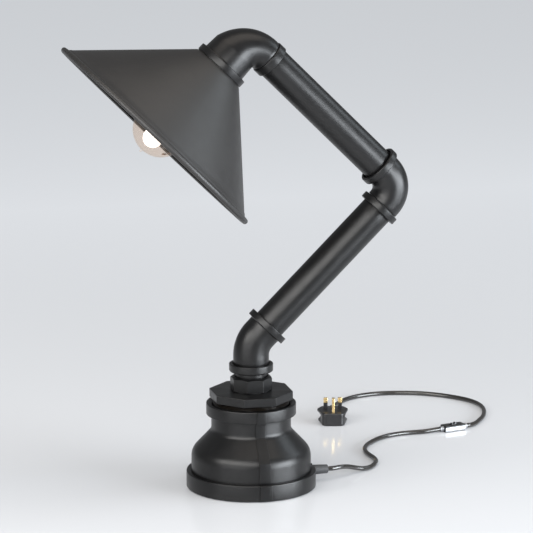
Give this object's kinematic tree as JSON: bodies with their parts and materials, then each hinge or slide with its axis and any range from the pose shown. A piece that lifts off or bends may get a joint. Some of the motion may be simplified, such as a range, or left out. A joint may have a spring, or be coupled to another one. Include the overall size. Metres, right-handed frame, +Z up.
{
  "type": "pipe table lamp",
  "caption": "Industrial style table lamp of pipe and pipe elbows on a bell-shaped base, with swivelling arms, a cone shade, a globe bulb and a free cord with a switch and a plug.",
  "frame": {"origin": "centre of the base on the table", "axes": "+Z up, the arms lie in the XZ plane and the lower arm leans towards +X, the rib of the base faces -Y"},
  "size_m": [0.7316, 0.6448, 0.6801],
  "materials": {
    "cast_fitting": "satin black powder coat on cast pipe fittings",
    "painted_pipe": "satin black powder coat on steel pipe",
    "shade_sheet": "satin black powder coat on spun steel sheet",
    "counterweight": "raw casting",
    "plain_steel": "bare steel",
    "pad_rubber": "matte moulded rubber",
    "friction_disc": "dark friction plastic",
    "cord_cover": "smooth black cord sheath",
    "flex_cover": "dark flex sheath",
    "black_plastic": "satin black moulded plastic",
    "holder_plastic": "dark moulded lampholder plastic",
    "ceramic": "white glazed insulator",
    "silver_trim": "bright silver trim",
    "brass_parts": "bright brass",
    "bulb_envelope": "clear glass, warm tint",
    "bulb_inside": "glass stem with filaments",
    "bulb_base": "bright metal cap"
  },
  "bodies": {
    "base": {"base_shell": "cast_fitting", "base_ring": "cast_fitting", "base_plate": "plain_steel", "foot_pad": "pad_rubber", "ballast": "counterweight", "base_screws": "plain_steel", "bushing": "cast_fitting", "nut_washer": "friction_disc", "lock_nut": "cast_fitting", "swivel_socket": "cast_fitting", "terminal_block": "ceramic", "terminal_screws": "brass_parts", "earth_tag": "brass_parts", "cord_anchor": "black_plastic", "inner_lead": "cord_cover", "riser_flex": "flex_cover", "cord_boot": "pad_rubber", "cord_near": "cord_cover", "cord_far": "cord_cover", "switch_body": "black_plastic", "switch_cover": "black_plastic", "switch_trims": "silver_trim", "switch_ferrules": "silver_trim", "switch_contacts": "brass_parts", "plug_base": "black_plastic", "plug_cover": "black_plastic", "plug_earth_pin": "brass_parts", "plug_line_pins": "brass_parts", "plug_sleeves": "black_plastic", "plug_fuse": "ceramic", "plug_cord_grip": "black_plastic", "plug_screw": "plain_steel"},
    "slider": {"switch_slider": "black_plastic"},
    "lower_arm": {"lower_elbow": "cast_fitting", "base_washer": "friction_disc", "base_clip": "plain_steel", "lower_pipe": "painted_pipe", "lower_collar": "cast_fitting", "lower_flex": "flex_cover"},
    "upper_arm": {"middle_elbow": "cast_fitting", "middle_washer": "friction_disc", "middle_clip": "plain_steel", "upper_pipe": "painted_pipe", "upper_collar": "cast_fitting", "upper_flex": "flex_cover"},
    "head": {"head_elbow": "cast_fitting", "head_washer": "friction_disc", "head_clip": "plain_steel", "threaded_tube": "brass_parts", "tube_nut": "brass_parts", "clamp_washer": "plain_steel", "shade": "shade_sheet", "lampholder": "holder_plastic", "holder_ring": "holder_plastic", "holder_insert": "ceramic", "screw_shell": "brass_parts", "bulb_glass": "bulb_envelope", "bulb_cap": "bulb_base", "bulb_stem": "bulb_inside", "head_flex": "flex_cover"}
  },
  "joints": [
    {"name": "arm_swivel", "type": "hinge", "parent": "base", "child": "lower_arm", "pos_m": [0, 0, 0.178], "axis": [0, 0, 1], "range_deg": [-170, 170]},
    {"name": "elbow_swivel", "type": "hinge", "parent": "lower_arm", "child": "upper_arm", "pos_m": [0.2231, 0, 0.4381], "axis": [0.7071, 0, 0.7071], "range_deg": [-60, 60]},
    {"name": "head_swivel", "type": "hinge", "parent": "upper_arm", "child": "head", "pos_m": [-0.005, 0, 0.6662], "axis": [-0.7071, 0, 0.7071], "range_deg": [-90, 90]},
    {"name": "switch_slide", "type": "slide", "parent": "base", "child": "slider", "axis": [0.9686, 0.2487, 0], "range_m": [-0.002, 0.002]}
  ]
}
